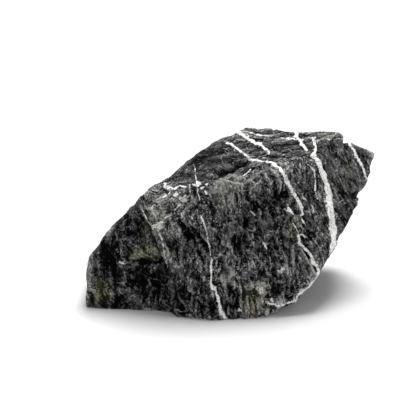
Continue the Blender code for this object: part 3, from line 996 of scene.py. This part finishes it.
class Finish:
    """A material whose nodes are added one by one."""

    def __init__(self, name):
        self.material = bpy.data.materials.new(name)
        self.material.use_nodes = True
        self.tree = self.material.node_tree
        self.shader = self.tree.nodes["Principled BSDF"]

    def node(self, kind, settings=None, sockets=None, out=0):
        """Adds a node: its settings first, then the values or links of its sockets. Returns an output."""
        made = self.tree.nodes.new(kind)
        for name, value in (settings or {}).items():
            setattr(made, name, value)
        for name, value in (sockets or {}).items():
            self.feed(made.inputs[name], value)
        return Signal(self, made.outputs[out])

    def feed(self, socket, value):
        """Links a signal to a socket, or sets the socket's own value."""
        if isinstance(value, Signal):
            self.tree.links.new(value.socket, socket)
        else:
            socket.default_value = value

    def read(self, name):
        """A number that the mesh keeps for each vertex."""
        return self.node("ShaderNodeAttribute", {"attribute_name": name}, out="Fac")

    def vector(self, operation, *values, out=0, **more):
        """A Vector Math node, with its sockets by number or by name."""
        return self.node(
            "ShaderNodeVectorMath", {"operation": operation}, {**dict(enumerate(values)), **more}, out
        )

    def blended(self, amount, first, second):
        """A colour part of the way from the first to the second."""
        settings = {"data_type": "RGBA", "clamp_factor": True}
        return self.node("ShaderNodeMix", settings, {0: amount, 6: first, 7: second}, out=2)

    def cloud(self, place, waves, detail, rough):
        """Noise from 0 to 1 over a place in millimetres, as NOISES describes it."""
        sockets = {"Vector": place, "Scale": waves, "Detail": detail, "Roughness": rough}
        return self.node("ShaderNodeTexNoise", {}, sockets)

    def cells(self, place, scale, out):
        """Cells scattered over a place: each one's own random colour, or the distance from its middle."""
        return self.node("ShaderNodeTexVoronoi", {}, {"Vector": place, "Scale": scale}, out)

    def ramp(self, name, value):
        """A colour of that ramp, where the value is."""
        between, low, high = RAMPS[name]
        return self.blended(value.eased(*between), low, high)


class Rock(Finish):
    """A finish with noises over the stone in millimetres, still or drifting, and along each face's grain."""

    def __init__(self, name):
        super().__init__(name)
        self.still = self.vector("SCALE", self.node("ShaderNodeTexCoord", out="Object"), Scale=1 / MM)
        self.drifting = self.vector("ADD", self.still, self.push(*DRIFT))
        self.along_grain = {}
        for grain, (direction, _, stretch) in GRAINS.items():
            parts = [
                self.vector("DOT_PRODUCT", self.drifting, tuple(row), out="Value")
                for row in grain_axes(direction)
            ]
            parts[0] = parts[0] / stretch
            self.along_grain[grain] = self.node("ShaderNodeCombineXYZ", {}, dict(enumerate(parts)))

    def push(self, waves, far):
        """A push that wanders over the stone in length and direction."""
        sockets = {"Vector": self.still, "Scale": waves, "Detail": 2.0}
        push = self.node("ShaderNodeTexNoise", {}, sockets, out="Color")
        return self.vector("SCALE", self.vector("SUBTRACT", push, (0.5, 0.5, 0.5)), Scale=far)

    def still_cloud(self, name):
        """A cloud that doesn't drift."""
        return self.cloud(self.still, *NOISES[name])

    def region(self, name):
        """Where a cloud shows."""
        return self.still_cloud(name).eased(*SHOWS[name])

    def swung(self, name):
        """A still cloud that swings about 0, as far as SWINGS says."""
        return self.still_cloud(name).swing(SWINGS[name])

    def streaks(self, name):
        """Noise drawn out along each face's own grain."""
        return sum(
            self.cloud(turned, *NOISES[name]) * self.read(grain) for grain, turned in self.along_grain.items()
        )

    def plates(self):
        """Broken plates along each face's own grain, each with its own number from 0 to 1."""
        jag = self.push(*JAG)
        return sum(
            self.cells(self.vector("ADD", turned, jag), PLATES, "Color") * self.read(grain)
            for grain, turned in self.along_grain.items()
        )

    def hairlines(self):
        """Fine wandering lines in some regions: where a noise passes through its middle."""
        found = 0.0
        for waves, width, shift, region, shows in HAIRLINES:
            moved = self.vector("ADD", self.drifting, (shift, -shift, 2 * shift))
            off = abs(self.cloud(moved, waves, *HAIRLINE_WAVER) - 0.5)
            line = off.eased(width, HAIRLINE_CORE * width) * self.cloud(self.still, *region).eased(*shows)
            found = line.most(found)
        return found

    def ragged(self, patch, border, inside, shows):
        """How fully a kind of patch covers the stone, with a border made ragged by a noise."""
        amount = self.read(patch)
        return (amount + self.swung(border) * amount.eased(*SHOWS[inside])).eased(*SHOWS[shows])

    def calcite(self):
        """How fully the veins' calcite covers the stone: inside their rough borders, apart from gaps."""
        turn = self.node("ShaderNodeAttribute", {"attribute_name": "vein"}, out="Vector")
        cosine, sine, half = (self.node("ShaderNodeSeparateXYZ", {}, {0: turn}, out=n) for n in range(3))
        away = abs(sine.math("ARCTAN2", sine, cosine)) * (VEIN_REACH / math.pi)
        border = away - half * VEIN_SHARE + self.swung("vein_border") + self.swung("vein_bulges")
        whole = self.read("whole") + self.swung("vein_gaps")
        return border.eased(*SHOWS["calcite"]) * whole.eased(*SHOWS["vein_whole"])


def stone_finish():
    """Dark limestone with streaks along the grain, mineral specks and painted glints, stained patches,
    calcite veins, and painted shade.

    A tone summed from noises and from what the mesh keeps gives the rock's grey; it holds painted shade in
    pits, creases and hollows, in the recess and under the top-left facet. Bright grains, hairlines, stains,
    chalk, specks (mineral specks and painted glints) and calcite then cover it, one after another.
    """
    f = Rock("veined_limestone")
    # dark: the dark patches and the pits, partly painted shade (pits, the recess, under the top-left facet)
    dark = f.read("dark")
    smooth = f.read("smooth")
    flecked = f.read("flecked")
    fleck = f.still_cloud("fleck")
    calm = f.cloud(f.drifting, *NOISES["calm"]).eased(*SHOWS["calm"])
    found = {
        "mottle": f.cloud(f.drifting, *NOISES["mottle"]),
        "broad": f.streaks("broad"),
        "thin": f.streaks("thin"),
        "grit": f.still_cloud("grit"),
        "plate": f.plates(),
        "pitted": f.streaks("pitted").eased(*SHOWS["pitted"]),
        "cracks": abs(f.streaks("cracks") - 0.5).eased(*SHOWS["crack"]) * f.region("cracked"),
    }

    fine = sum(found[name].swing(far) for name, far in FINE_SWINGS.items())
    fine = fine * (1 - CALM_LESS["fine"] * calm + FLECKED_MORE["fine"] * flecked)
    tone = sum(found[name].swing(far) for name, far in TONE_SWINGS.items()) + fine
    tone = tone * (1 - SMOOTH_LESS["swings"] * smooth) + TONE_START
    tone = tone + sum(amount * f.read(name) for name, amount in TONE_ADDED.items())
    pitted = found["pitted"] * (1 - SMOOTH_LESS["pitted"] * smooth) * (1 - CALM_LESS["pitted"] * calm)
    tone = tone - PITTED_DARKER * pitted - CRACKS_DARKER * found["cracks"]
    stone = f.ramp("rock", tone)

    bright = tone + fleck.swing(BRIGHT_SWING) - BRIGHT_DARK * dark - BRIGHT_SMOOTH * smooth
    stone = f.blended(bright.eased(*SHOWS["bright"]) * BRIGHT_COVER, stone, BRIGHT)
    hairlines = f.hairlines() * found["grit"].eased(*SHOWS["hairline_gaps"])
    stone = f.blended(hairlines * (HAIRLINE_COVER - HAIRLINE_DARK * dark), stone, HAIRLINE)
    for kind in ("pale", "olive", "tan"):
        amount = f.ragged(kind, "stain_border", "in_stain", "stain")
        stone = f.blended(amount * STAIN_COVER, stone, f.ramp(kind, tone))
    chalk = f.ragged("chalk", "chalk_border", "in_chalk", "chalk")
    stone = f.blended(chalk, stone, f.ramp("chalk", found["grit"]))

    # Specks: small pale mineral grains that also stand in for glints, so partly painted glints
    off_middle = f.cells(f.drifting, SPECKS_AND_GLINTS, "Distance") + fleck.swing(SPECK_AND_GLINT_SWING)
    lot = f.cells(f.drifting, SPECKS_AND_GLINTS, "Color") + FLECKED_MORE["specks"] * flecked
    specks = off_middle.eased(*SHOWS["speck"]) * lot.eased(*SHOWS["speck_lot"]) * f.region("speckled")
    specks = specks * (1 - dark) * (1 - SMOOTH_LESS["specks"] * smooth)
    stone = f.blended(specks * SPECK_AND_GLINT_COVER, stone, SPECK_AND_GLINT)
    calcite = f.calcite()
    stone = f.blended(calcite, stone, f.ramp("calcite", f.still_cloud("worn")))

    f.feed(f.shader.inputs["Base Color"], stone)
    roughness = ROUGHNESS - GRIT_SHINE * found["grit"] + CALCITE_ROUGHER * calcite
    f.feed(f.shader.inputs["Roughness"], roughness)
    f.shader.inputs["Specular IOR Level"].default_value = SPECULAR
    height = sum(found[name] * far for name, far in BUMPS.items())
    sockets = {"Strength": 1.0, "Distance": BUMP_HEIGHT, "Height": height}
    f.feed(f.shader.inputs["Normal"], f.node("ShaderNodeBump", {}, sockets))
    return f.material


def placed(name, data):
    """A new object in the scene, unturned at the origin."""
    thing = bpy.data.objects.new(name, data)
    bpy.context.scene.collection.objects.link(thing)
    return thing


def point(thing, place, target):
    """Moves a lamp or a camera to its place and points it at its target."""
    thing.location = place
    thing.rotation_euler = (Vector(target) - Vector(place)).to_track_quat("-Z", "Y").to_euler()


def stone_skin():
    """The stone's skin, laid over the solid, and the placement that carried it there."""
    points, quads, fan, shown = skin_mesh()
    placement = Placement(points)
    mesh = mesh_of("stone_skin", placement.carried(points), quads, fan)
    for name in (*GRAINS, *PATCHES, "edge", "crest", "vein", "whole"):
        give(mesh, name, shown[name])
    mesh.shade_smooth()
    mesh.materials.append(stone_finish())
    skin = placed("stone_skin", mesh)
    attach(skin, "root")
    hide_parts("stone")
    return placement


def floor():
    """A plain, near-white floor."""
    side = FLOOR_HALF
    corners = np.array([(-side, -side), (side, -side), (side, side), (-side, side)])
    points = np.column_stack([corners, np.full(4, -FLOOR_DROP)])
    mesh = mesh_of("floor", points, np.arange(4)[None], np.zeros((0, 3), int))
    f = Finish("white_floor")
    f.shader.inputs["Base Color"].default_value = FLOOR_COLOUR
    f.shader.inputs["Roughness"].default_value = FLOOR_ROUGHNESS
    mesh.materials.append(f.material)
    placed("floor", mesh)


def lights():
    """Large soft lamps and an even white sky."""
    for name, place, side, watts in LAMPS:
        lamp = bpy.data.lights.new(name, "AREA")
        lamp.energy = watts
        lamp.size = side
        point(placed(name, lamp), place, LAMP_TARGET)
    world = bpy.data.worlds.new("studio")
    world.use_nodes = True
    sky = world.node_tree.nodes["Background"].inputs
    sky["Color"].default_value = (1.0, 1.0, 1.0, 1.0)
    sky["Strength"].default_value = WORLD_LIGHT
    bpy.context.scene.world = world
    bpy.context.scene.view_settings.view_transform = "Standard"


def camera(placement):
    """The eye of the front view."""
    _, _, back = sight_axes()
    aim = placement.carried(AIM)
    eye = aim + back * EYE_AWAY * placement.scale
    lens = bpy.data.cameras.new("camera")
    lens.lens = LENS
    lens.sensor_width = SENSOR
    bpy.context.scene.camera = placed("camera", lens)
    point(bpy.context.scene.camera, eye, aim)


placement = stone_skin()
floor()
lights()
camera(placement)

bpy.context.view_layer.update()
